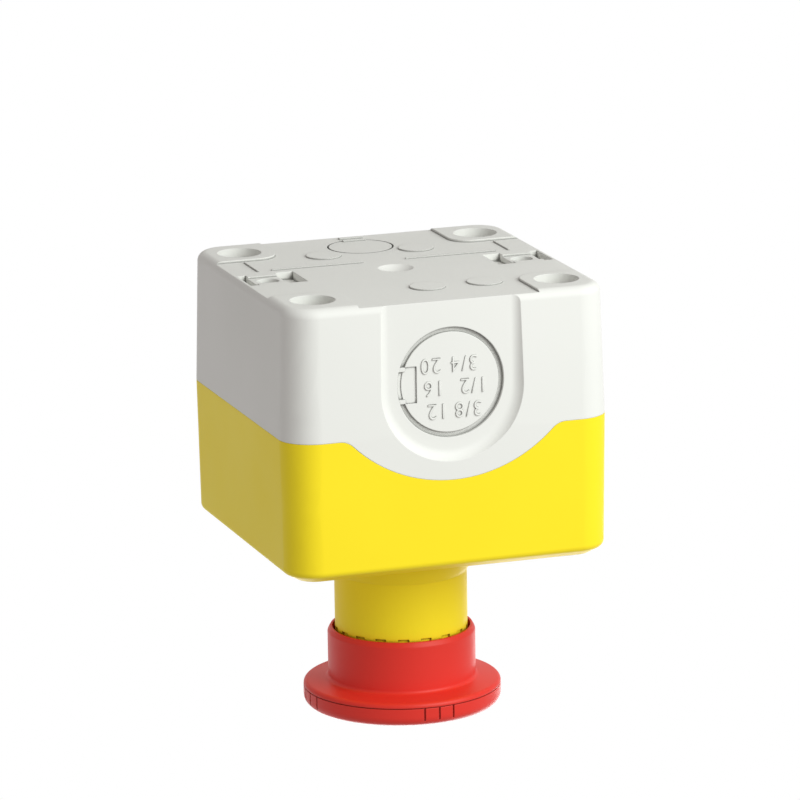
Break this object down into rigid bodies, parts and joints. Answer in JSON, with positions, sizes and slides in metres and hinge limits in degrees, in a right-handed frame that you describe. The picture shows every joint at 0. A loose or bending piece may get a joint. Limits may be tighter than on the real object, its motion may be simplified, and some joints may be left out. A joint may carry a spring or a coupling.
{
  "type": "emergency stop push button",
  "caption": "Surface-mounted emergency stop station: square two-part enclosure with a red turn-to-release mushroom button on a sleeve.",
  "frame": {"origin": "centre of the mounting face on the enclosure's back, level with the corner pads", "axes": "+Z along the button, away from the mounting face; +X across the two mounting holes; -Y and +Y through the cable entries"},
  "size_m": [0.068, 0.068, 0.091],
  "materials": {
    "white_shell": "satin moulded",
    "yellow_shell": "satin moulded",
    "red_plastic": "semi-gloss moulded",
    "green_plastic": "moulded",
    "grey_plastic": "moulded",
    "black_plastic": "moulded",
    "seal_rubber": "matte",
    "screw_steel": "zinc plated",
    "spring_steel": "drawn wire",
    "contact_brass": "stamped"
  },
  "bodies": {
    "enclosure": {"base_housing": "white_shell", "cover": "yellow_shell", "cover_seal": "seal_rubber", "cover_screws": "screw_steel", "bezel_sleeve": "yellow_shell", "bezel_seal": "seal_rubber", "operator_body": "black_plastic", "fixing_collar": "grey_plastic", "collar_screws": "screw_steel", "latch_ring": "spring_steel", "stem_seal": "seal_rubber", "return_spring": "spring_steel", "nc_housing": "grey_plastic", "nc_lid": "red_plastic", "nc_spring": "spring_steel", "nc_terminals": "contact_brass", "nc_clamps": "screw_steel", "nc_screws": "screw_steel", "no_housing": "grey_plastic", "no_lid": "green_plastic", "no_spring": "spring_steel", "no_terminals": "contact_brass", "no_clamps": "screw_steel", "no_screws": "screw_steel"},
    "operator": {"stem": "grey_plastic", "spring_cup": "black_plastic", "turn_spring": "spring_steel"},
    "mushroom": {"mushroom_skirt": "red_plastic", "mushroom_cap": "red_plastic", "release_rod": "black_plastic"},
    "nc_contact": {"nc_plunger": "red_plastic", "nc_bridge": "contact_brass"},
    "no_contact": {"no_plunger": "green_plastic", "no_bridge": "contact_brass"}
  },
  "joints": [
    {"name": "push", "type": "slide", "parent": "enclosure", "child": "operator", "axis": [0, 0, -1], "range_m": [0, 0.0045], "stiffness_N_per_m": 2500, "springref_m": -0.006, "deforming": ["return_spring"]},
    {"name": "turn_to_release", "type": "hinge", "parent": "operator", "child": "mushroom", "pos_m": [0, 0, 0.088], "axis": [0, 0, -1], "range_deg": [0, 35], "stiffness_Nm_per_rad": 0.05, "springref_deg": -17.19},
    {"name": "nc_plunger_push", "type": "slide", "parent": "enclosure", "child": "nc_contact", "axis": [0, 0, -1], "range_m": [0, 0.0045], "stiffness_N_per_m": 300, "springref_m": -0.003, "deforming": ["nc_spring"]},
    {"name": "no_plunger_push", "type": "slide", "parent": "enclosure", "child": "no_contact", "axis": [0, 0, -1], "range_m": [0, 0.0045], "stiffness_N_per_m": 300, "springref_m": -0.003, "deforming": ["no_spring"]}
  ],
  "couplings": [
    {"joint": "nc_plunger_push", "follows": "push", "ratio": 1},
    {"joint": "no_plunger_push", "follows": "push", "ratio": 1}
  ]
}
